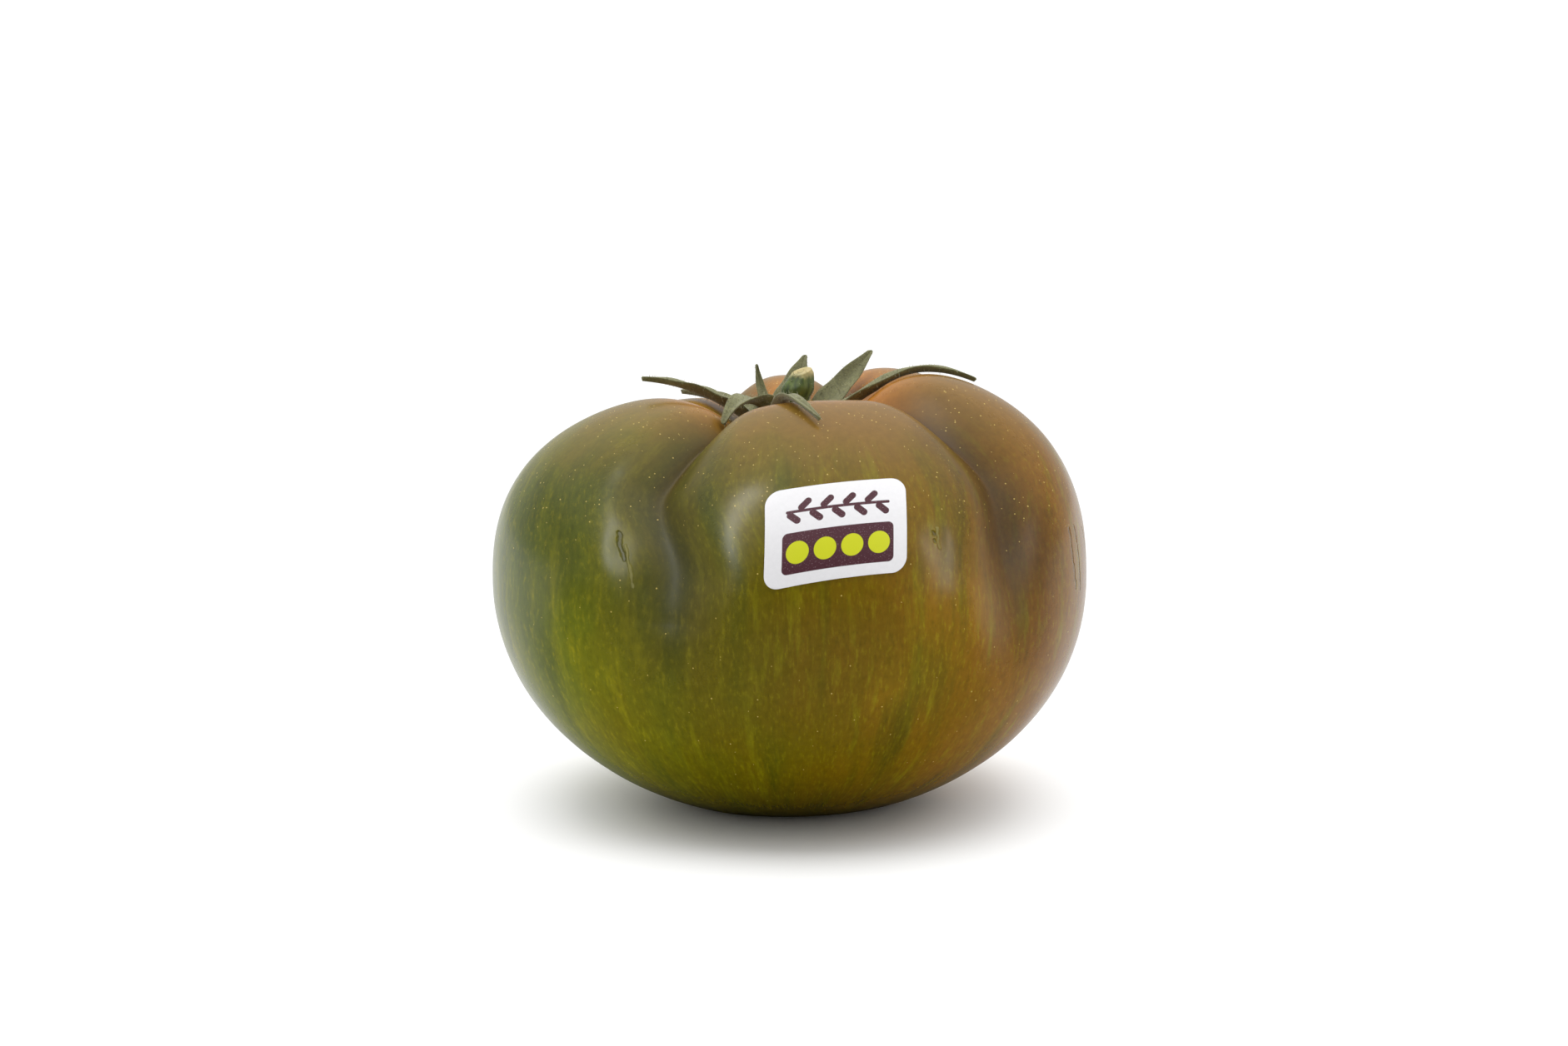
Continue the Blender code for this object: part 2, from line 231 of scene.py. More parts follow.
fruit = {
    "radius": 45.3, "belowEquator": 36.1, "flatSlice": 2.4, "hollowDepth": 13.0, "hollowRadius": 12.5,
    "scarRadius": 4.6, "scarDepth": 0.8, "scarBottom": 0.35, "centring": (0.17, -1.32),
    # lobes: direction and depth of the groove before it, crest height, reach, upper and lower squareness,
    # and how far that groove has swung round at the equator
    "lobes": [
        (-33.0, 4.4, 33.1, -0.6, 2.20, 1.95, 9.5), (54.0, 3.6, 34.2, -0.5, 2.56, 2.05, -6.5),
        (105.5, 3.0, 34.2, 1.8, 2.12, 1.85, 0.0), (160.0, 3.6, 31.3, 2.1, 2.30, 1.95, 5.0),
        (205.0, 3.2, 28.2, 0.5, 2.32, 1.75, -4.0), (258.0, 2.4, 30.6, 0.1, 2.54, 2.02, 0.0),
    ],
    # grooves: how sharp the crease is at its narrowest, what is added to that lower down, and its curve
    "narrowest": 0.012, "widening": 0.11, "creasePower": 0.55,
    # the latitudes in degrees over which it narrows, sharpens, stops swinging, and gains its depth by shares
    "narrows": (10.0, 52.0), "sharpens": (-34.0, 24.0), "straightens": (8.0, 38.0),
    "deepens": [(0.42, -50.0, 15.0), (0.58, -6.0, 46.0)], "creaseFromAxis": (1.5, 13.0),
    # the soft valley along each groove
    "valleyShare": 0.55, "valleyWidth": 9.0, "valleyDeepens": (-22.0, 16.0), "valleyFromAxis": (4.0, 20.0),
    "columnsPerLobe": 60, "rings": 240,
    "crowding": 0.6,      # how far the columns crowd towards the grooves
    "inset": 0.10,        # keeps the finer skin just inside the coarser solid
    "waves": [(14.0, 0.16), (5.0, 0.045)],   # size and height of the soft unevenness, in mm
    "wavesAbove": 0.5, "wavesGrowOver": 6.0,
    "ribRadius": 45.0,
    # shallow dents, placed by direction and height: size across and upward, and depth
    "dents": [((-35.2, 43.5), 1.8, 4.0, 0.22), ((29.0, 45.8), 1.5, 4.5, 0.22)],
    # healed growth cracks and wrinkles: directions and heights along each, and half its width
    "marks": {
        "split": [([(-36.5, 45.7), (-35.4, 44.0), (-33.9, 42.2)], 0.24),
                  ([(29.0, 46.3), (29.0, 46.0)], 0.22), ([(28.8, 45.2), (28.8, 45.0)], 0.18)],
        "cork": [([(-34.4, 44.1), (-32.5, 41.1), (-31.5, 38.6)], 0.16),
                 ([(29.9, 46.9), (29.6, 44.2)], 0.16)],
        # painted shade and painted light: broad darker and lighter areas of the skin colour
        "dark": [([(-51.0, 52.0), (-60.0, 50.0)], 8.5), ([(-18.6, 55.6), (-20.6, 51.8)], 4.5),
                 ([(39.8, 56.0), (44.0, 51.9), (51.1, 47.0), (56.0, 41.8)], 5.0)],
        "light": [([(32.4, 34.4), (26.0, 27.6)], 6.0), ([(-44.0, 23.5), (-50.0, 12.0)], 10.0)],
        "wrinkle": [([(69.0, 43.5), (68.9, 39.2), (70.5, 34.6)], 0.22),
                    ([(72.1, 43.5), (72.9, 38.7), (73.7, 34.2)], 0.22),
                    ([(79.4, 42.3), (81.7, 37.6), (81.4, 33.2)], 0.24)],
    },
    # patterns: whether they follow the ribs, size of one patch across and up in mm, detail and roughness
    "patterns": {
        "clouds": (False, (20, 20, 20), 2.0, 0.5), "patches": (False, (9, 9, 11), 3.0, 0.55),
        "bands": (True, (8.0, 8.0, 50), 3.0, 0.55), "streaks": (True, (2.2, 2.2, 13), 4.0, 0.62),
        "dashes": (True, (0.6, 0.6, 1.7), 3.0, 0.65), "mottle": (False, (1.1, 1.1, 1.1), 3.0, 0.7),
        "grain": (False, (0.45, 0.45, 0.45), 2.0, 0.5), "dimples": (False, (3.0, 3.0, 3.0), 2.0, 0.5),
        "shake": (False, (1.6, 1.6, 1.6), 2.0, 0.5),
    },
    # ripeness from left to right in mm, the patterns that shift its borders and by how much, and its colours
    "ripens": (-8.0, 84.0),
    "ripeShifts": [("clouds", 26.0), ("patches", 12.0), ("bands", 30.0), ("streaks", 9.0)],
    "ripeColours": [(0.0, "#505c10"), (0.18, "#616606"), (0.36, "#645d00"), (0.54, "#6b5900"),
                    (0.72, "#7a5a02"), (0.86, "#845a0c"), (1.0, "#744b0c")],
    # the tan shoulders: the heights over which they come in, and how much of them by ripeness
    "shoulders": (61.0, 73.0), "shoulderShifts": [("clouds", 14.0), ("patches", 7.0)],
    "shoulderColour": "#7a5a22", "shoulderRipeness": (0.05, 0.6), "shoulderShares": (0.35, 0.95),
    # colours over the ground colour: pattern, where in it they start and are full, colour and largest share
    "layers": [("streaks", 0.53, 0.70, "#858000", 0.48), ("bands", 0.48, 0.32, "#3a4108", 0.5),
               ("dashes", 0.54, 0.72, "#958a06", 0.38), ("dashes", 0.46, 0.30, "#3b3f06", 0.28)],
    "layersOnTan": 0.25,
    "hollowColour": "#b4742c", "hollowShare": 0.85, "hollowEdges": (25.0, 11.0),
    # painted shade: the darker green and brown laid into the valleys, and how much of it
    "valleyShadeColours": ("#262a06", "#4c2f08"), "valleyShadeInk": 0.68,
    # painted shade: the brown laid along the creases, and how much of it
    "creaseShadeColour": "#4d3413", "creaseShadeInk": 0.6,
    # mottling, then painted shade and painted light in broad areas: how much they change the level, and how
    # far their borders waver
    "mottling": (0.91, 1.09), "paintedShadeAndLight": [("dark", -0.28), ("light", 0.32)], "shadeAndLightShift": 14.0,
    # pale specks: mm between them, how many of them show low down and high up, their radius and colour
    "speckSpacing": 0.65, "speckHeights": (40.0, 62.0), "speckShares": (0.04, 0.40),
    "speckRadii": (0.10, 0.18), "speckColour": "#e0c468", "speckStrength": 0.7,
    "markColours": [("wrinkle", "#4a3c16", 0.4), ("cork", "#9c965f", 0.42), ("split", "#33351a", 0.55)],
    "markShift": 0.9,
    # relief: pattern or mark, height in mm and strength
    "relief": [("dimples", 0.06, 0.3), ("grain", 0.005, 0.4), ("split", -0.16, 0.8), ("wrinkle", -0.22, 0.8),
               ("cork", 0.10, 0.8)],
    "roughness": (0.20, 0.30), "corkRoughness": 0.25, "valleyRoughness": 0.22, "ior": 1.36,
}


def perLobe(field):
    return np.array([lobe[field] for lobe in fruit["lobes"]])


def lobeEdges():
    starts = perLobe(0)
    return np.append(starts, starts[0] + 360.0)


def placeInLobes(direction):
    # the lobe that a direction is in, and the share of that lobe passed
    edges = lobeEdges()
    wrapped = (direction - edges[0]) % 360.0 + edges[0]
    index = np.clip(np.searchsorted(edges, wrapped, side="right") - 1, 0, len(edges) - 2)
    return index, (wrapped - edges[index]) / (edges[index + 1] - edges[index])


def blendLobes(direction, field):
    index, share = placeInLobes(direction)
    values = perLobe(field)
    count = len(values)
    beside = np.where(share < 0.5, values[(index - 1) % count], values[(index + 1) % count])
    return values[index] + (beside - values[index]) * 0.5 * np.abs(2.0 * share - 1.0) ** 2


def fruitProfile(direction, latitude):
    below = latitude < 0.0
    power = np.where(below, blendLobes(direction, 5), blendLobes(direction, 4))
    cosine = np.maximum(np.cos(latitude), 0.0)
    distance = (fruit["radius"] + blendLobes(direction, 3)) * cosine ** (2.0 / power)
    nearStalk = np.exp(-((distance / fruit["hollowRadius"]) ** 2))
    crest = blendLobes(direction, 2)
    meanCrest = sum(lobe[2] for lobe in fruit["lobes"]) / len(fruit["lobes"])
    crest = crest + (meanCrest - crest) * nearStalk
    height = np.where(below, -fruit["belowEquator"], crest) * np.abs(np.sin(latitude)) ** (2.0 / power)
    return distance, height - np.where(below, 0.0, fruit["hollowDepth"] * nearStalk)


def creaseOf(direction, latitude, distance):
    # depth of the groove at each point, and how near the point is to the crease itself and to its valley
    index, share = placeInLobes(direction)
    offset = np.minimum(share, 1.0 - share) * np.diff(lobeEdges())[index]
    depths = perLobe(1)
    depth = np.where(share < 0.5, depths[index], depths[(index + 1) % len(depths)])
    degrees = np.degrees(latitude)
    sharpness = ease(*fruit["sharpens"], degrees)
    rounding = fruit["narrowest"] + fruit["widening"] * (1.0 - ease(*fruit["narrows"], degrees))
    across = np.clip(np.hypot(4.0 * share * (1.0 - share), rounding), 0.0, 1.0)
    crease = 1.0 - across ** fruit["creasePower"]
    swell = np.cos(np.pi * share) ** 2
    strength = sum(part * ease(low, high, degrees) for part, low, high in fruit["deepens"])
    strength = strength * ease(*fruit["creaseFromAxis"], distance)
    valley = np.exp(-((offset / fruit["valleyWidth"]) ** 2))
    valley = valley * ease(*fruit["valleyDeepens"], degrees) * ease(*fruit["valleyFromAxis"], distance)
    creased = strength * (sharpness * crease + (1.0 - sharpness) * swell)
    return depth * (creased + fruit["valleyShare"] * valley), crease * strength, valley


def swingRound(direction, latitude):
    # the grooves don't run straight down, and the skin between two of them swings with both
    index, share = placeInLobes(direction)
    swings = perLobe(6)
    beside = swings[(index + 1) % len(swings)]
    swing = swings[index] + (beside - swings[index]) * ease(0.0, 1.0, share)
    return direction + swing * (1.0 - ease(*fruit["straightens"], np.degrees(latitude)))


def fruitSkin(direction, latitude):
    # the groove is cut square to the profile, whose slope comes from two points close by
    nearby = 0.0001
    distance, height = fruitProfile(direction, latitude)
    further = fruitProfile(direction, np.minimum(latitude + nearby, math.pi / 2))
    nearer = fruitProfile(direction, np.maximum(latitude - nearby, -math.pi / 2))
    across, along = further[0] - nearer[0], further[1] - nearer[1]
    length = np.hypot(across, along) + 1e-12
    depth, crease, valley = creaseOf(direction, latitude, distance)
    depth = depth + fruit["inset"]
    distance, height = distance - depth * along / length, height + depth * across / length
    height = np.maximum(height + fruit["belowEquator"] - fruit["flatSlice"], 0.0)
    scarEdge = ease(fruit["scarBottom"] * fruit["scarRadius"], fruit["scarRadius"], distance)
    height = height + np.where(latitude < 0.0, fruit["scarDepth"] * (1.0 - scarEdge), 0.0)
    turn = np.radians(swingRound(direction, latitude))
    x = distance * np.sin(turn) + fruit["centring"][0]
    y = -distance * np.cos(turn) + fruit["centring"][1]
    return np.stack([x, y, height], axis=-1), crease, valley


def onSkin(tree, direction, height, outside=100.0):
    # the point of the skin at a direction round the fruit's axis and a height over the ground
    turn = math.radians(direction)
    inward = Vector((-math.sin(turn), math.cos(turn), 0.0))
    axis = Vector((*fruit["centring"], height))
    return tree.ray_cast(axis - inward * outside, inward)[0]


def makeFruit():
    columnsPerLobe, rings, crowding = fruit["columnsPerLobe"], fruit["rings"], fruit["crowding"]
    shape, places = numberedBall(columnsPerLobe * len(fruit["lobes"]), rings)
    lobe, step = np.divmod(np.array([place[1] for place in places]), columnsPerLobe)
    share = step / columnsPerLobe
    share = crowding * (0.5 - 0.5 * np.cos(np.pi * share)) + (1 - crowding) * share
    edges = lobeEdges()
    directions = edges[lobe] + (edges[lobe + 1] - edges[lobe]) * share
    latitudes = (np.array([place[2] for place in places]) / rings - 0.5) * math.pi
    points, crease, valley = fruitSkin(directions, latitudes)
    for (vertex, _, _), point in zip(places, points):
        vertex.co = point
    shape.normal_update()
    for vertex, _, _ in places:
        above = vertex.co.z - fruit["wavesAbove"]
        if above > 0:
            push = -sum(height for _, height in fruit["waves"]) * 0.5
            for size, height in fruit["waves"]:
                push += height * 0.5 * noise.noise(vertex.co / size)
            vertex.co = vertex.co + vertex.normal * push * min(1.0, above / fruit["wavesGrowOver"])
    tree = BVHTree.FromBMesh(shape)
    for middle, wide, tall, depth in fruit["dents"]:
        centre = onSkin(tree, *middle)
        for vertex, _, _ in places:
            away = vertex.co - centre
            if away.length < 3 * tall:
                off = math.hypot(away.x, away.y) / wide
                vertex.co = vertex.co - vertex.normal * depth * math.exp(-off * off - (away.z / tall) ** 2)
    keepInside(shape, "fruit")
    shape.normal_update()
    tree = BVHTree.FromBMesh(shape)
    piece = toObject(shape, "tomatoSkin")
    piece.data.materials.append(skinMaterial(tree))
    # along the ribs: a circle of constant width for the direction, and the way up in millimetres
    turn = np.radians(directions)
    ribs = fruit["ribRadius"] * np.stack([np.sin(turn), -np.cos(turn), latitudes], axis=-1)
    for name, values in [("ribs", ribs), ("crease", crease), ("valley", valley)]:
        addToPoints(piece, name, values)
    return piece, tree


def shifted(add, value, patterns, shifts):
    # a value in mm, moved to and fro by patterns
    for name, spread in shifts:
        value = add("Math", {1: spread}, {0: patterns[name], 2: value}, operation="MULTIPLY_ADD")
    return value


def wavered(add, pattern, place, spread):
    # a place moved to and fro by a pattern's three colours
    colours = pattern.outputs["Color"]
    swing = add("VectorMath", {1: (0.5, 0.5, 0.5)}, {0: colours}, operation="SUBTRACT")
    reach = (spread, spread, spread)
    return add("VectorMath", {1: reach}, {0: swing, 2: place}, operation="MULTIPLY_ADD")


def skinMaterial(skin):
    # ripe tomato skin: a thin wax layer over pigmented flesh, so deep colour lies under a soft satin gloss
    material, add, inMm = startMaterial("waxy tomato skin")
    ribs = add("Attribute", attribute_name="ribs")
    crease = add("Attribute", attribute_name="crease").outputs["Fac"]
    axes = add("SeparateXYZ", links={"Vector": inMm})
    patterns = {}
    for name, (alongRibs, size, detail, rough) in fruit["patterns"].items():
        source = ribs.outputs["Vector"] if alongRibs else inMm
        scaled = add("Mapping", {"Scale": [1 / length for length in size]}, {"Vector": source})
        patterns[name] = add("TexNoise", {"Scale": 1.0, "Detail": detail, "Roughness": rough},
                             {"Vector": scaled})

    # ripeness runs from green on the left to brown and orange on the right, with wavering borders
    ripe = shifted(add, axes.outputs["X"], patterns, fruit["ripeShifts"])
    ripe = add("MapRange", spans(*fruit["ripens"]), {"Value": ripe})
    ground = add("ValToRGB", links={"Fac": ripe})
    setStops(ground, fruit["ripeColours"])

    # the shoulders and the hollow ripen first, to tan and orange brown
    upward = shifted(add, axes.outputs["Z"], patterns, fruit["shoulderShifts"])
    shoulder = add("MapRange", spans(*fruit["shoulders"]), {"Value": upward}, **smooth)
    sideTan = add("MapRange", spans(*fruit["shoulderRipeness"], *fruit["shoulderShares"]), {"Value": ripe})

    # the patterns fade where the shoulder is tan
    clear = add("MapRange", spans(0.0, 1.0, 1.0, fruit["layersOnTan"]), {"Value": shoulder})
    colour = ground
    for name, start, end, ink, most in fruit["layers"]:
        share = add("MapRange", spans(start, end, 0.0, most), {"Value": patterns[name]})
        colour = layOver(add, colour, ink, share, clear)
    colour = layOver(add, colour, fruit["shoulderColour"], shoulder, sideTan)

    # the slopes of the hollow are orange
    endless = 1000.0   # the height of the patch, so that only the distance from the axis counts
    centre = add("Mapping", {"Location": (*fruit["centring"], 0.0), "Scale": (1.0, 1.0, endless)},
                 {"Vector": inMm}, vector_type="TEXTURE")
    fromAxis = add("VectorMath", links={0: centre}, operation="LENGTH")
    inHollow = add("MapRange", spans(*fruit["hollowEdges"], 0.0, fruit["hollowShare"]),
                   {"Value": fromAxis}, **smooth)
    colour = layOver(add, colour, fruit["hollowColour"], inHollow, shoulder)

    # painted shade: the valleys are darkened, green on the left and brown on the right
    valley = add("Attribute", attribute_name="valley").outputs["Fac"]
    valleyShare = add("MapRange", spans(0.05, 1.0, 0.0, fruit["valleyShadeInk"]), {"Value": valley})
    green, brown = fruit["valleyShadeColours"]
    valleyShadeInk = add("Mix", {6: toLinear(green), 7: toLinear(brown)}, {0: ripe}, data_type="RGBA")
    colour = layOver(add, colour, valleyShadeInk, valleyShare, clear)
    # painted shade: the creases in the valleys are darkened brown
    creaseShadeShare = add("MapRange", spans(0.55, 1.0, 0.0, fruit["creaseShadeInk"]), {"Value": crease})
    colour = layOver(add, colour, fruit["creaseShadeColour"], creaseShadeShare)

    # mottling lightens and darkens it all by about a tenth
    level = add("MapRange", spans(0.3, 0.7, *fruit["mottling"]), {"Value": patterns["mottle"]})
    # and so do painted shade and painted light in a few broad darker and lighter areas, whose borders waver by
    # some millimetres
    drifted = wavered(add, patterns["patches"], inMm, fruit["shadeAndLightShift"])
    for kind, change in fruit["paintedShadeAndLight"]:
        away = distanceToMarks(add, skin, drifted, fruit["marks"][kind])
        share = add("MapRange", spans(1.8, 0.2, 0.0, change), {"Value": away}, **smooth)
        level = add("Math", links={0: level, 1: share}, operation="ADD")
    colour = add("VectorMath", links={0: colour, 1: level}, operation="MULTIPLY")

    # pale specks (lenticels) up to 0.36 mm wide, thickest high up
    cells = add("TexVoronoi", {"Scale": 1 / fruit["speckSpacing"]}, {"Vector": inMm})
    parts = add("SeparateColor", links={"Color": cells.outputs["Color"]})
    often = add("MapRange", spans(*fruit["speckHeights"], *fruit["speckShares"]),
                {"Value": axes.outputs["Z"]})
    chosen = add("Math", links={0: parts.outputs["Red"], 1: often}, operation="LESS_THAN")
    size = add("MapRange", spans(0.0, 1.0, *fruit["speckRadii"]), {"Value": parts.outputs["Green"]})
    inside = add("Math", links={0: cells, 1: size}, operation="LESS_THAN")
    colour = layOver(add, colour, fruit["speckColour"], chosen, inside, fruit["speckStrength"])

    # healed splits, their corky lips and fine wrinkles, with edges that waver by a quarter of a millimetre
    shaken = wavered(add, patterns["shake"], inMm, fruit["markShift"])
    shares = {}
    for kind in ("wrinkle", "cork", "split"):
        away = distanceToMarks(add, skin, shaken, fruit["marks"][kind])
        shares[kind] = add("MapRange", spans(1.9, 0.6), {"Value": away}, **smooth)
    for kind, ink, most in fruit["markColours"]:
        colour = layOver(add, colour, ink, shares[kind], most)

    # relief: dimples 3 mm wide, cells of about half a millimetre, and the marks
    normal = {}
    for name, depth, strength in fruit["relief"]:
        bump = add("Bump", {"Strength": strength, "Distance": abs(depth) * mm},
                   {"Height": {**patterns, **shares}[name], **normal}, invert=depth < 0)
        normal = {"Normal": bump}
    rough = add("MapRange", spans(0.0, 1.0, *fruit["roughness"]), {"Value": patterns["mottle"]})
    for source, more in [(shares["cork"], fruit["corkRoughness"]), (valley, fruit["valleyRoughness"])]:
        rough = add("Math", {1: more}, {0: source, 2: rough}, operation="MULTIPLY_ADD")
    finishMaterial(add, {"IOR": fruit["ior"]}, {"Base Color": colour, "Roughness": rough, **normal})
    return material


tomatoSkin, skinTree = makeFruit()
setInFrame(tomatoSkin, "fruit")
print("fruit made,", len(tomatoSkin.data.polygons), "faces")


# calyx: a disc in the hollow and eight sepals, each a keeled blade along its own middle line

calyx = {
    "gap": 0.3, "clearance": 0.05, "discRadius": 5.6, "discTop": 56.5, "discCrown": 0.45,
    "discColumns": 64, "discRings": 24, "discPower": 0.7,
    "sepalStart": 3.4, "startDepth": 0.9, "stations": 12, "lineClearance": 1.15, "easings": 2,
    "columns": 20, "rings": 60, "thickness": 0.62,
    # the blade: its width at the root and taper, its thickness, and its hollowing, keel, furrow and ripples
    "rootWidth": 0.62, "taper": 0.90, "taperPower": 1.7, "tipLength": 0.03,
    "rootThick": 1.7, "thinning": 1.1, "cupping": 0.34, "keel": 0.32, "furrow": 0.16, "furrowWidth": 0.14,
    "ripple": 0.10, "seed": 40,
    # sepals: direction, climb at the root and at the tip, turn, roll, length, width, and how dry the tip is
    "sepals": [
        (-80.0, 42.0, 4.0, 6.0, 0.0, 21.8, 5.4, 0.25), (-38.0, 74.0, -66.0, 2.0, 0.0, 17.5, 6.6, 0.1),
        (-14.0, 28.0, -42.0, 52.0, 0.0, 28.0, 3.4, 1.0), (84.0, 50.0, -42.0, 16.0, 0.0, 28.0, 4.2, 0.3),
        (132.0, 42.0, 38.0, 0.0, -40.0, 17.5, 5.8, 0.1), (181.0, 50.0, 58.0, -40.0, 0.0, 13.2, 7.2, 0.4),
        (-152.0, 26.0, 84.0, 4.0, 0.0, 12.4, 3.0, 0.5), (-128.0, 28.0, -4.0, -8.0, 0.0, 20.0, 5.2, 0.3),
    ],
    # leaf: greens, patch and speckle size in mm, midrib and vein colour, mm between veins and their slant
    "greens": [(0.3, "#26300f"), (0.5, "#40481f"), (0.72, "#5d5f35")], "patch": 3.0, "speckle": 0.35,
    "veinColour": "#7f7c52", "veinSpacing": 1.6, "veinSlant": 2.5, "veinShare": 0.3, "midribShare": 0.6,
    "dryColour": "#7c5f38", "dryShare": 0.9, "unevenness": (0.75, 1.25), "relief": 0.12,
    # hairs: how many, lengths in mm and seed, then colours, radii at root and tip, lean, and depth of the root
    "hairs": (1500, (0.35, 0.8), 7), "hairColours": ("#8d8c63", "#c9c7aa"), "hairPatch": 1.5,
    "hairRadii": (0.035, 0.008), "hairLean": 0.5, "hairRoot": 0.05,
}


def skinHeight(x, y, above=200.0):
    hit = skinTree.ray_cast(Vector((x, y, above)), Vector((0.0, 0.0, -1.0)))
    return hit[0].z if hit[0] else 0.0


def sepalLine(direction, climb, endClimb, turn, length):
    root = math.radians(direction)
    start, stations = calyx["sepalStart"], calyx["stations"]
    middleX, middleY = fruit["centring"]
    here = Vector((start * math.sin(root) + middleX, -start * math.cos(root) + middleY,
                   calyx["discTop"] - calyx["startDepth"]))
    line = [here.copy()]
    for station in range(stations):
        share = (station + 0.5) / stations
        pitch = math.radians(climb + (endClimb - climb) * share ** 1.2)
        heading = math.radians(direction + turn * share)
        level = math.cos(pitch)
        step = Vector((level * math.sin(heading), -level * math.cos(heading), math.sin(pitch)))
        here = here + step * (length / stations)
        line.append(here.copy())
    for point in line[2:]:
        point.z = max(point.z, skinHeight(point.x, point.y) + calyx["lineClearance"])
    for _ in range(calyx["easings"]):
        eased = [point.copy() for point in line]
        for index in range(2, len(line) - 1):
            eased[index].z = 0.25 * line[index - 1].z + 0.5 * line[index].z + 0.25 * line[index + 1].z
        line = eased
    return line


def alongLine(line, share):
    # a smooth curve through the stations, and its heading
    place = min(max(share, 0.0), 1.0) * (len(line) - 1)
    index = min(int(place), len(line) - 2)
    t = place - index
    a, b = line[max(index - 1, 0)], line[index]
    c, d = line[index + 1], line[min(index + 2, len(line) - 1)]
    bend, twist = 2 * a - 5 * b + 4 * c - d, 3 * b - a - 3 * c + d
    point = 0.5 * ((2 * b) + (c - a) * t + bend * t ** 2 + twist * t ** 3)
    slope = 0.5 * ((c - a) + 2 * bend * t + 3 * twist * t ** 2)
    return point, slope.normalized()


def makeSepal(number, direction, climb, endClimb, turn, roll, length, width, dry):
    # returns the blade and, for each vertex, what its material reads: across, along in mm, and dryness
    line = sepalLine(direction, climb, endClimb, turn, length)
    columns, rings = calyx["columns"], calyx["rings"]
    shape, places = numberedBall(columns, rings)
    wave = random.Random(calyx["seed"] + number)
    phase, ripples = wave.uniform(0, 6), wave.uniform(2.2, 3.4)
    leaf = {}
    for vertex, column, ring in places:
        share = ring / rings
        point, forward = alongLine(line, share)
        side = forward.cross(Vector((0.0, 0.0, 1.0))).normalized()
        up = side.cross(forward)
        angle = math.radians(roll) * float(ease(0.15, 0.9, share))
        cosine, sine = math.cos(angle), math.sin(angle)
        side, up = side * cosine + up * sine, up * cosine - side * sine
        half = 0.5 * width * (calyx["rootWidth"] + (1 - calyx["rootWidth"]) * float(ease(0.0, 0.3, share)))
        half *= 1.0 - calyx["taper"] * share ** calyx["taperPower"]
        half *= min(1.0, math.sqrt(max(0.0, (1.0 - share) / calyx["tipLength"])))
        thick = calyx["thickness"] * (calyx["rootThick"] - calyx["thinning"] * share)
        across, lift = 0.0, 0.0
        if 0 < ring < rings:
            around = 2 * math.pi * column / columns
            across, sine = math.cos(around), math.sin(around)
            lift = 0.5 * thick * math.copysign(abs(sine) ** 0.75, sine)
            lift += calyx["cupping"] * half * across ** 2
            if sine < 0:
                lift -= calyx["keel"] * (1.0 - abs(across)) ** 3
            else:
                lift -= calyx["furrow"] * math.exp(-((across / calyx["furrowWidth"]) ** 2))
            swing = math.sin(2 * math.pi * ripples * share + phase + 1.5 * across)
            lift += calyx["ripple"] * half * across ** 2 * swing
        where = point + side * (half * across) + up * lift
        floor = skinHeight(where.x, where.y) + calyx["gap"] + calyx["clearance"]
        if where.z < floor:
            where.z = floor + 0.6 * max(0.0, lift)
        vertex.co = where
        leaf[vertex] = (across, share * length, dry * share ** 3)
    keepInside(shape, "calyx")
    return shape, [leaf[vertex] for vertex in shape.verts]


def makeDisc():
    columns, rings, radius = calyx["discColumns"], calyx["discRings"], calyx["discRadius"]
    shape, places = numberedBall(columns, rings)
    for vertex, column, ring in places:
        latitude = (ring / rings - 0.5) * math.pi
        distance = radius * math.cos(latitude) ** calyx["discPower"] if 0 < ring < rings else 0.0
        around = 2 * math.pi * column / columns
        x = distance * math.cos(around) + fruit["centring"][0]
        y = distance * math.sin(around) + fruit["centring"][1]
        under = skinHeight(x, y) + calyx["gap"] + calyx["clearance"]
        over = calyx["discTop"] + calyx["discCrown"] * (1.0 - (distance / radius) ** 2)
        vertex.co = (x, y, under + (over - under) * (0.5 + 0.5 * math.sin(latitude)))
    return shape


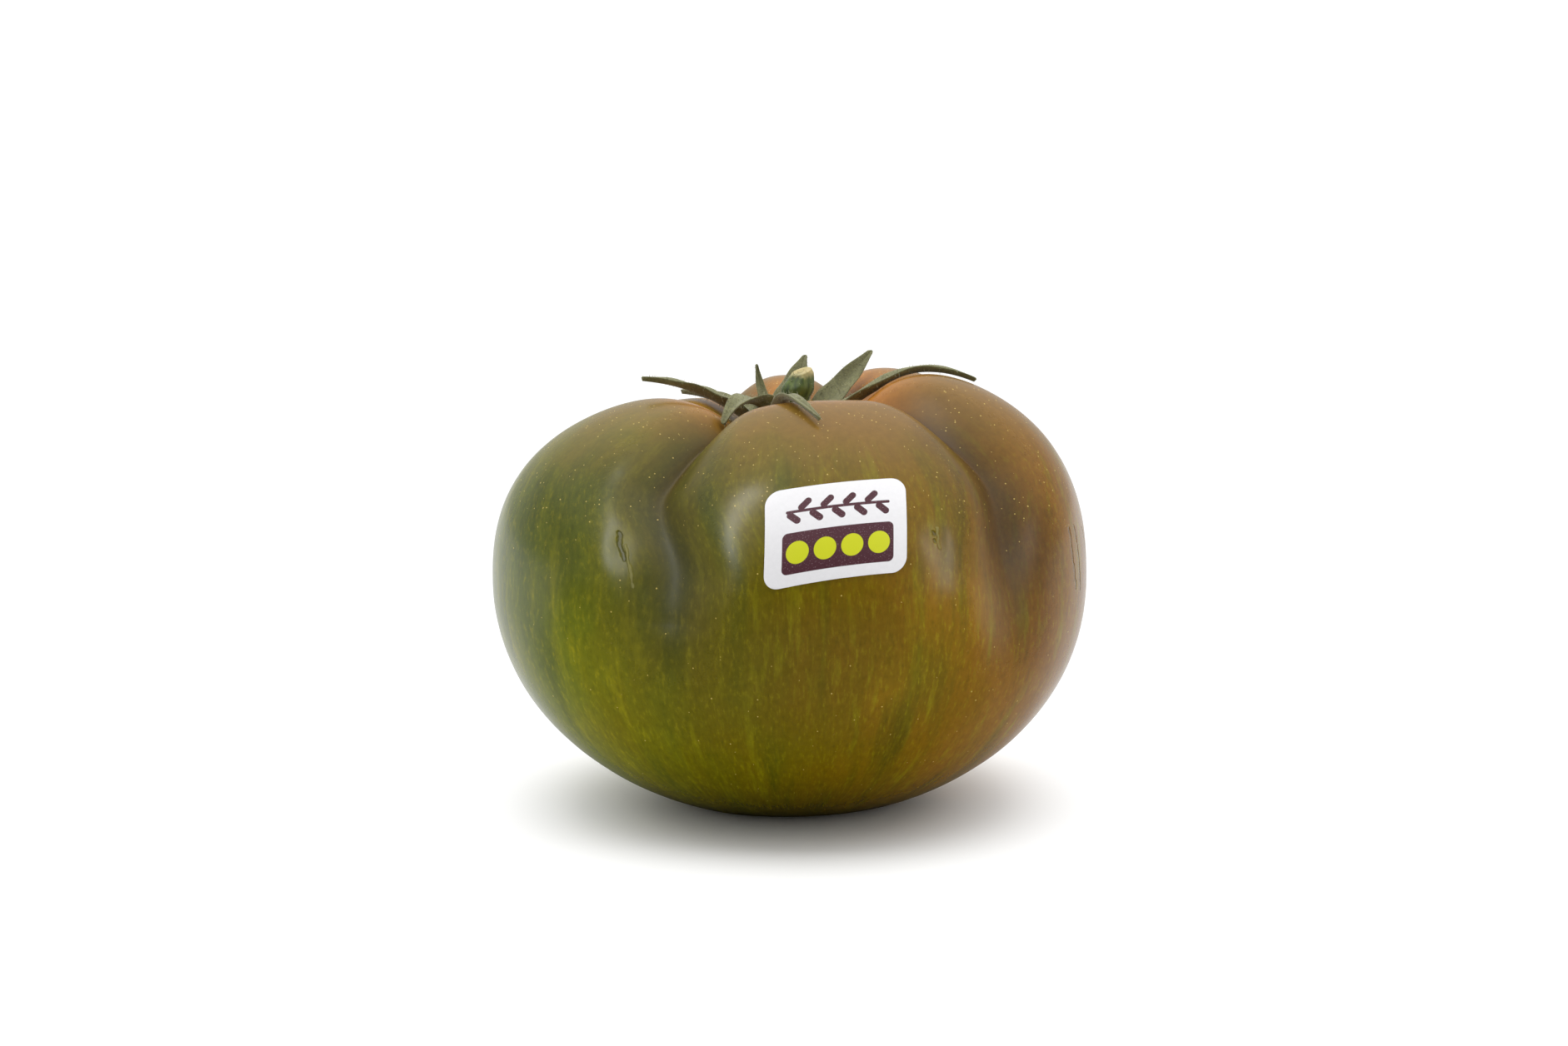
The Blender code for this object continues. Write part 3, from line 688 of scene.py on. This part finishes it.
def calyxMaterial():
    # sepal of a nightshade: a matt, finely hairy leaf, grey green with a paler midrib and dry tan tips
    material, add, inMm = startMaterial("hairy calyx leaf")
    leaf = add("Attribute", attribute_name="leaf").outputs["Vector"]
    parts = add("SeparateXYZ", links={"Vector": leaf}).outputs
    cloud = add("TexNoise", {"Scale": 1 / calyx["patch"], "Detail": 3.0}, {"Vector": inMm})
    speckle = add("TexNoise", {"Scale": 1 / calyx["speckle"], "Detail": 3.0}, {"Vector": inMm})
    green = add("ValToRGB", links={"Fac": cloud})
    setStops(green, calyx["greens"])
    # veins leave the midrib at a slant
    sideways = add("Math", links={0: parts["X"]}, operation="ABSOLUTE")
    slanted = add("Math", {1: calyx["veinSlant"]}, {0: sideways}, operation="MULTIPLY")
    onward = add("Math", links={0: parts["Y"], 1: slanted}, operation="SUBTRACT")
    waves = add("Math", {1: 2 * math.pi / calyx["veinSpacing"]}, {0: onward}, operation="MULTIPLY")
    veins = add("Math", links={0: waves}, operation="SINE")
    veinShare = add("MapRange", spans(0.75, 1.0, 0.0, calyx["veinShare"]), {"Value": veins})
    rib = add("MapRange", spans(0.22, 0.05, 0.0, calyx["midribShare"]), {"Value": sideways})
    lines = add("Math", links={0: veinShare, 1: rib}, operation="MAXIMUM")
    veined = layOver(add, green, calyx["veinColour"], lines)
    # the third number of the attribute grows towards a dry tip
    dry = add("Math", links={0: parts["Z"], 1: speckle}, operation="MULTIPLY")
    dryShare = add("MapRange", spans(0.12, 0.45, 0.0, calyx["dryShare"]), {"Value": dry})
    dried = layOver(add, veined, calyx["dryColour"], dryShare)
    level = add("MapRange", spans(0.3, 0.7, *calyx["unevenness"]), {"Value": speckle})
    coloured = add("VectorMath", links={0: dried, 1: level}, operation="MULTIPLY")
    height = add("Math", links={0: speckle, 1: lines}, operation="ADD")
    bump = add("Bump", {"Strength": 0.6, "Distance": calyx["relief"] * mm}, {"Height": height})
    finishMaterial(add, {
        "Roughness": 0.72, "IOR": 1.42, "Sheen Weight": 0.22, "Sheen Roughness": 0.5,
        "Subsurface Weight": 0.08, "Subsurface Radius": (0.6, 0.8, 0.3), "Subsurface Scale": 0.6 * mm,
    }, {"Base Color": coloured, "Normal": bump})
    return material


def makeCalyx(material):
    piece = toObject(makeDisc(), "calyxLeaves", material)
    addToPoints(piece, "leaf", np.zeros((len(piece.data.vertices), 3)))
    sepals = bpy.data.collections.new("sepals")
    for number, settings in enumerate(calyx["sepals"]):
        shape, leaf = makeSepal(number, *settings)
        blade = toObject(shape, f"sepal{number}", material)
        addToPoints(blade, "leaf", leaf)
        bpy.context.scene.collection.objects.unlink(blade)
        sepals.objects.link(blade)
    join = piece.modifiers.new("join", "BOOLEAN")
    join.operation = "UNION"
    join.operand_type = "COLLECTION"
    join.collection = sepals
    join.solver = "EXACT"
    join.use_self = True
    bpy.context.view_layer.objects.active = piece
    bpy.ops.object.modifier_apply(modifier=join.name)
    for blade in list(sepals.objects):
        bpy.data.objects.remove(blade)
    bpy.data.collections.remove(sepals)
    piece.data.shade_smooth()
    return piece


def makeHairs(name, piece, node, material, count, lengths, seed):
    # short hairs as closed three-sided spikes, scattered by area over the piece
    pick = random.Random(seed)
    lean, (thick, thin) = calyx["hairLean"], calyx["hairRadii"]
    # the faces and their corners are sorted by place, because the operators number them anew in each run
    faces = [face for face in piece.data.polygons if face.area > 0]
    faces.sort(key=lambda face: [round(middle / mm, 3) for middle in face.center])
    chosen = pick.choices(faces, weights=[face.area for face in faces], k=count)
    shape = bmesh.new()
    for face in chosen:
        corners = sorted([piece.data.vertices[index].co / mm for index in face.vertices], key=tuple)
        weights = [pick.random() + 0.01 for _ in corners]
        root = sum((corner * weight for corner, weight in zip(corners, weights)), Vector()) / sum(weights)
        way = (face.normal + Vector([pick.uniform(-lean, lean) for _ in range(3)])).normalized()
        length = pick.uniform(*lengths)
        turn = way.to_track_quat("Z", "Y").to_matrix().to_4x4()
        middle = Matrix.Translation(root + way * (0.5 * length - calyx["hairRoot"]))
        bmesh.ops.create_cone(shape, cap_ends=True, segments=3, radius1=thick, radius2=thin, depth=length,
                              matrix=middle @ turn)
    keepInside(shape, node)
    return toObject(shape, name, material)


def hairMaterial():
    # leaf hairs: clear cells that catch the light, pale and a little green
    material, add, inMm = startMaterial("pale leaf hair")
    green, pale = calyx["hairColours"]
    change = add("TexNoise", {"Scale": 1 / calyx["hairPatch"]}, {"Vector": inMm})
    tone = add("Mix", {6: toLinear(green), 7: toLinear(pale)}, {0: change}, data_type="RGBA")
    finishMaterial(add, {"Roughness": 0.5, "IOR": 1.45}, {"Base Color": tone})
    return material


calyxPiece = makeCalyx(calyxMaterial())
setInFrame(calyxPiece, "calyx")
leafHair = hairMaterial()
setInFrame(makeHairs("calyxHairs", calyxPiece, "calyx", leafHair, *calyx["hairs"]), None)
print("calyx made,", len(calyxPiece.data.polygons), "faces")


# stalk: a stub with its swollen knuckle, cut off flat

stalk = {
    "foot": 57.6, "top": 64.9, "radius": 1.7, "knuckle": 2.45, "knuckleHeight": 0.66, "knuckleLength": 0.24,
    "flare": 0.62, "flareLength": 0.16, "lean": 1.6, "cutSlant": 0.36, "cutDirection": -55.0,
    "columns": 48, "rings": 70, "capRings": 12,
    # ribs round the stub: how many, how high as a share of the radius, and where they start
    "ribs": [(5, 0.022, 0.6), (9, 0.012, 0.0)],
    # the cut is slightly dished, with a ring of firmer tissue
    "cutDish": 0.18, "cutEdge": 0.025, "ringHeight": 0.072, "ringPlace": 0.35, "ringWidth": 0.12,
    "greens": [(0.3, "#2f3f08"), (0.5, "#465a0e"), (0.7, "#66752f")], "cutColour": "#b3a26c",
    "fibre": (0.6, 0.6, 3.0), "cutEdges": (-0.4, 0.6), "relief": 0.12,
    "hairs": (260, (0.25, 0.6), 9),
}


def makeStalk(material):
    columns, rings, capRings = stalk["columns"], stalk["rings"], stalk["capRings"]
    shape, places = numberedBall(columns, rings)
    cutTurn = math.radians(stalk["cutDirection"])
    for vertex, column, ring in places:
        climb = min(max((ring - capRings) / (rings - 2 * capRings), 0.0), 1.0)
        inward = max(capRings - ring, ring - (rings - capRings), 0) / capRings
        knuckle = math.exp(-(((climb - stalk["knuckleHeight"]) / stalk["knuckleLength"]) ** 2))
        flare = math.exp(-((climb / stalk["flareLength"]) ** 2))
        radius = stalk["radius"] + (stalk["knuckle"] - stalk["radius"]) * knuckle + stalk["flare"] * flare
        around = 2 * math.pi * column / columns
        radius *= 1.0 + sum(high * math.cos(count * around + start) for count, high, start in stalk["ribs"])
        radius *= 1.0 - 0.15 * float(ease(0.90, 1.0, climb))
        height = stalk["foot"] + (stalk["top"] - stalk["foot"]) * climb
        if inward > 0:
            # the outer quarter of each cap rounds the edge
            passed = min(1.0, inward * 4)
            radius *= (1 - inward) if inward * 4 > 1 else (1 - 0.25 * inward)
            if climb > 0.5:
                ridge = math.exp(-(((inward - stalk["ringPlace"]) / stalk["ringWidth"]) ** 2))
                rounding = stalk["cutEdge"] * (1 - math.sqrt(1 - passed ** 2))
                height -= rounding + stalk["cutDish"] * inward - stalk["ringHeight"] * ridge
        x, y = radius * math.cos(around), radius * math.sin(around)
        slant = stalk["cutSlant"] * float(ease(0.6, 1.0, climb))
        height -= slant * (x * math.sin(cutTurn) - y * math.cos(cutTurn))
        vertex.co = (x + stalk["lean"] * climb + fruit["centring"][0], y + fruit["centring"][1], height)
    keepInside(shape, "stalk")
    return toObject(shape, "stubOfStalk", material)


def stalkMaterial():
    # tomato stalk: soft green rind, tan and fibrous where it is cut
    material, add, inMm = startMaterial("green stalk rind")
    axes = add("SeparateXYZ", links={"Vector": inMm})
    perFibre = [1 / length for length in stalk["fibre"]]
    stretched = add("Mapping", {"Scale": perFibre}, {"Vector": inMm})
    fibres = add("TexNoise", {"Scale": 1.0, "Detail": 4.0}, {"Vector": stretched})
    rind = add("ValToRGB", links={"Fac": fibres})
    setStops(rind, stalk["greens"])
    ragged = add("Math", {1: 1.2}, {0: fibres}, operation="MULTIPLY")
    level = add("Math", links={0: axes.outputs["Z"], 1: ragged}, operation="ADD")
    below, above = stalk["cutEdges"]
    cut = add("MapRange", spans(stalk["top"] + below, stalk["top"] + above), {"Value": level})
    coloured = layOver(add, rind, stalk["cutColour"], cut)
    bump = add("Bump", {"Strength": 0.5, "Distance": stalk["relief"] * mm}, {"Height": fibres})
    finishMaterial(add, {
        "Roughness": 0.55, "IOR": 1.42, "Sheen Weight": 0.15, "Subsurface Weight": 0.12,
        "Subsurface Radius": (0.6, 0.9, 0.3), "Subsurface Scale": 1.0 * mm,
    }, {"Base Color": coloured, "Normal": bump})
    return material


stalkPiece = makeStalk(stalkMaterial())
setInFrame(stalkPiece, "stalk")
setInFrame(makeHairs("stalkHairs", stalkPiece, "stalk", leafHair, *stalk["hairs"]), None)
print("stalk made")


# label: coated paper that follows the skin, with a plain print of discs under a sprig

label = {
    "size": (20.4, 14.2), "corner": 2.2, "thickness": 0.12, "lift": 0.16, "centre": (6.6, 47.5),
    "rise": 5.9, "lean": 4.2, "grid": (96, 64), "edgeAngle": 50.0,
    "paper": "#f3f2f4", "paperLevels": (0.93, 1.02), "fibre": 0.5,
    # inks, and the dots of paper that the dark one lets through, drawn 0.2 mm wide
    "darkInk": "#4a1d29", "thinInk": "#a08a92", "discInk": "#d3d81e", "dot": 0.2, "inkEdge": 0.03,
    # forms of the print in mm from the middle: place and half size, and how far discs and leaves are apart
    "panel": ((0.2, -2.6), (8.0, 2.9), 0.8), "discRadius": 1.6, "discStep": 3.9, "discs": 4,
    "stem": ((0.2, 3.4), (7.5, 0.22), 0.2), "leaf": (0.5, 1.15), "leafStart": -6.2, "leafStep": 1.6,
    "leafOffset": 0.95, "leafTurns": (228, -48), "leaves": 9,
}


def makeLabel(material, outside=200.0, overSkin=30.0):
    width, height = label["size"]
    corner = label["corner"]
    start = Vector((label["centre"][0], -outside, label["centre"][1]))
    centre, normal, _, _ = skinTree.ray_cast(start, Vector((0.0, 1.0, 0.0)))
    level = Vector((0.0, 0.0, 1.0)).cross(normal).normalized()
    rise = normal.cross(level)
    climb, lean = math.radians(label["rise"]), math.radians(label["lean"])
    right = level * math.cos(climb) + rise * math.sin(climb)
    up = rise * math.cos(lean) + level * math.sin(lean)
    shape = bmesh.new()
    bmesh.ops.create_grid(shape, x_segments=label["grid"][0], y_segments=label["grid"][1], size=0.5)
    flat = shape.verts.layers.float_vector.new("print")
    for vertex in shape.verts:
        across, over = vertex.co.x * width, vertex.co.y * height
        pastX = max(abs(across) - (0.5 * width - corner), 0.0) / corner
        pastY = max(abs(over) - (0.5 * height - corner), 0.0) / corner
        across -= math.copysign(corner * pastX * (1.0 - math.sqrt(1.0 - 0.5 * pastY ** 2)), across)
        over -= math.copysign(corner * pastY * (1.0 - math.sqrt(1.0 - 0.5 * pastX ** 2)), over)
        origin = centre + right * across + up * over + normal * overSkin
        hit = skinTree.ray_cast(origin, -normal)[0]
        vertex.co = hit + normal * label["lift"]
        vertex[flat] = (across, over, 0.0)
    sheet = bmesh.ops.extrude_face_region(shape, geom=list(shape.faces), use_keep_orig=True)
    for item in sheet["geom"]:
        if isinstance(item, bmesh.types.BMVert):
            item.co += normal * label["thickness"]
            item[flat] = (item[flat][0], item[flat][1], 1.0)
    bmesh.ops.recalc_face_normals(shape, faces=shape.faces)
    piece = toObject(shape, "produceLabel", material)
    piece.data.set_sharp_from_angle(angle=math.radians(label["edgeAngle"]))
    return piece


def printedForms():
    # each form: middle, half size, corner radius (mm), turn (degrees) and whether it is in the dark ink
    (middleX, middleY), _, _ = label["panel"]
    (_, stemY), _, _ = label["stem"]
    forms = [(*label["panel"], 0, True), (*label["stem"], 0, True)]
    for number in range(label["leaves"]):
        upper = number % 2
        place = (label["leafStart"] + label["leafStep"] * number,
                 stemY + (label["leafOffset"] if upper else -label["leafOffset"]))
        forms.append((place, label["leaf"], label["leaf"][0], label["leafTurns"][upper], True))
    radius = label["discRadius"]
    for number in range(label["discs"]):
        step = number - 0.5 * (label["discs"] - 1)
        forms.append(((middleX + label["discStep"] * step, middleY), (radius, radius), radius, 0, False))
    return forms


def labelMaterial():
    # coated label paper: bright white with a slight gloss, printed in two flat inks
    material, add, inMm = startMaterial("printed label paper")
    flat = add("Attribute", attribute_name="print").outputs["Vector"]
    fibre = add("TexNoise", {"Scale": 1 / label["fibre"], "Detail": 3.0}, {"Vector": inMm})
    shade = add("MapRange", spans(0.0, 1.0, *label["paperLevels"]), {"Value": fibre})
    colour = add("VectorMath", {0: toLinear(label["paper"])[:3]}, {1: shade}, operation="MULTIPLY")
    dots = add("TexNoise", {"Scale": 1 / label["dot"], "Detail": 1.0}, {"Vector": flat})
    thin = add("MapRange", spans(0.62, 0.72, 0.0, 0.5), {"Value": dots})
    inks = {6: toLinear(label["darkInk"]), 7: toLinear(label["thinInk"])}
    dark = add("Mix", inks, {0: thin}, data_type="RGBA")
    soft = label["inkEdge"]
    for middle, half, radius, turn, inDark in printedForms():
        placed = {"Location": (*middle, 0.0), "Rotation": (0.0, 0.0, math.radians(turn))}
        local = add("Mapping", placed, {"Vector": flat}, vector_type="TEXTURE")
        folded = add("VectorMath", links={0: local}, operation="ABSOLUTE")
        straight = (half[0] - radius, half[1] - radius, 5.0)   # the attribute's third number is 0 or 1
        past = add("VectorMath", {1: straight}, {0: folded}, operation="SUBTRACT")
        kept = add("VectorMath", {1: (0.0, 0.0, 0.0)}, {0: past}, operation="MAXIMUM")
        away = add("VectorMath", links={0: kept}, operation="LENGTH")
        share = add("MapRange", spans(radius + soft, radius - soft), {"Value": away})
        colour = layOver(add, colour, dark if inDark else label["discInk"], share)
    finishMaterial(add, {"Roughness": 0.38, "IOR": 1.45}, {"Base Color": colour})
    return material


labelPiece = makeLabel(labelMaterial())
setInFrame(labelPiece, "label")
print("label made")


# floor, light and surroundings of a plain studio

studio = {
    "floorSize": 24.0, "floorHeight": -0.05, "floorColour": "#f6f6f5", "mirroredFloor": "#2b2a28",
    # painted light, the paper's white glow: strength, the distances in mm over which it comes in, its middle
    # and how far it is squeezed from front to back
    "glow": 1.15, "glowEdges": (20.0, 62.0), "glowMiddle": 5.0, "glowSqueeze": 0.6,
    "frontEdges": (50.0, -30.0),   # where the dimmer mirrored floor comes in, from back to front
    # soft boxes: place and size in metres, power in watts, and whether they light or only draw highlights
    "boxes": {"overhead": ((0.0, 0.14, 0.85), (0.9, 0.9), 6.4, "light"),
              "leftStrip": ((-0.497, -0.552, 0.71), (0.18, 1.06), 6.6, "shine"),
              "rightStrip": ((0.78, -0.32, 0.26), (0.12, 0.42), 1.0, "shine")},
    "boxTarget": (0, 0, 0.04),
    # brightness of the white room for what the skin mirrors: away from the camera, and upward
    "mirroredBack": [(-0.85, 0.02), (-0.6, 0.27), (-0.3, 0.42), (0.3, 0.40), (0.8, 0.62)],
    "mirroredTop": [(0.1, 0.0), (0.35, 0.4), (0.6, 0.9), (1.0, 1.3)],
    # and what lights it: behind the camera, all round, and added from either side
    "behindCamera": 0.10, "room": 1.05, "beside": 0.85, "behindEdges": (-0.70, 0.0),
}


def makeFloor():
    shape = bmesh.new()
    bmesh.ops.create_grid(shape, x_segments=1, y_segments=1, size=0.5 * studio["floorSize"] / mm)
    bmesh.ops.translate(shape, vec=(0.0, 0.0, studio["floorHeight"]), verts=shape.verts)
    material, add, inMm = startMaterial("matt white paper floor")
    axes = add("SeparateXYZ", links={"Vector": inMm})
    # the skin mirrors a dimmer floor in front of the fruit, as it does in the photograph
    front = add("MapRange", spans(*studio["frontEdges"]), {"Value": axes.outputs["Y"]})
    glossy = add("LightPath").outputs["Is Glossy Ray"]
    mirrored = add("Math", links={0: glossy, 1: front}, operation="MULTIPLY")
    tone = add("Mix", {6: toLinear(studio["floorColour"]), 7: toLinear(studio["mirroredFloor"])},
               {0: mirrored}, data_type="RGBA")
    surface = add("BsdfDiffuse", links={"Color": tone})
    # painted light: away from the fruit the paper glows evenly white, nearer to it at the sides than in front,
    # which trims the cast shadow
    ellipse = {"Location": (0.0, studio["glowMiddle"], 0.0), "Scale": (1.0, 1 / studio["glowSqueeze"], 1.0)}
    squeezed = add("Mapping", ellipse, {"Vector": inMm}, vector_type="TEXTURE")
    away = add("VectorMath", links={0: squeezed}, operation="LENGTH")
    far = add("MapRange", spans(*studio["glowEdges"]), {"Value": away}, **smooth)
    glow = add("Emission", {"Color": (1, 1, 1, 1), "Strength": studio["glow"]})
    direct = add("Math", {0: 1.0}, {1: mirrored}, operation="SUBTRACT")
    glowShare = add("Math", links={0: far, 1: direct}, operation="MULTIPLY")
    both = add("MixShader", links={0: glowShare, 1: surface, 2: glow})
    add("OutputMaterial", links={"Surface": both})
    toObject(shape, "floor", material)


def makeRoom():
    world = bpy.data.worlds.new("studio")
    bpy.context.scene.world = world
    world.use_nodes = True
    world.cycles.sampling_method = "NONE"   # so that mirrored and lighting rays each see their own room
    world.node_tree.nodes.clear()
    add = partial(addNode, world.node_tree)
    # the room is white all round and above, and dark behind the camera
    way = add("TexCoord")
    axes = add("SeparateXYZ", links={"Vector": way.outputs["Generated"]}).outputs
    fading = spans(*studio["behindEdges"], studio["behindCamera"], studio["room"])
    lit = add("MapRange", fading, {"Value": axes["Y"]}, **smooth)
    sideways = add("Math", links={0: axes["X"], 1: axes["X"]}, operation="MULTIPLY")
    lit = add("Math", {1: studio["beside"]}, {0: sideways, 2: lit}, operation="MULTIPLY_ADD")
    # what the skin mirrors of the room is drawn apart from what lights it
    curves = []
    for side, stops in [("Y", studio["mirroredBack"]), ("Z", studio["mirroredTop"])]:
        curve = add("FloatCurve", links={"Value": axes[side]})
        points = curve.mapping.curves[0].points
        curve.mapping.clip_min_x, curve.mapping.clip_max_y = -1.0, 2.0
        points[0].location, points[-1].location = (-1.0, stops[0][1]), (1.0, stops[-1][1])
        for where, bright in stops:
            points.new(where, bright)
        curve.mapping.update()
        curves.append(curve)
    mirror = add("Math", links={0: curves[0], 1: curves[1]}, operation="MAXIMUM")
    rays = add("LightPath").outputs
    room = add("Mix", links={0: rays["Is Glossy Ray"], 2: lit, 3: mirror})
    level = add("Mix", {3: 1.0}, {0: rays["Is Camera Ray"], 2: room})
    light = add("Background", {"Color": (1, 1, 1, 1)}, {"Strength": level})
    add("OutputWorld", links={"Surface": light})


def makeLights():
    for name, (place, size, power, use) in studio["boxes"].items():
        light = bpy.data.lights.new(name, "AREA")
        light.energy = power
        light.shape = "RECTANGLE"
        light.size, light.size_y = size
        lamp = bpy.data.objects.new(name, light)
        lamp.location = place
        lamp.visible_diffuse = use == "light"
        lamp.visible_glossy = use == "shine"
        facing = Vector(studio["boxTarget"]) - Vector(place)
        lamp.rotation_euler = facing.to_track_quat("-Z", "Y").to_euler()
        bpy.context.scene.collection.objects.link(lamp)


makeFloor()
makeRoom()
makeLights()
bpy.context.scene.view_settings.view_transform = "Standard"
print("studio set")

bpy.context.view_layer.update()
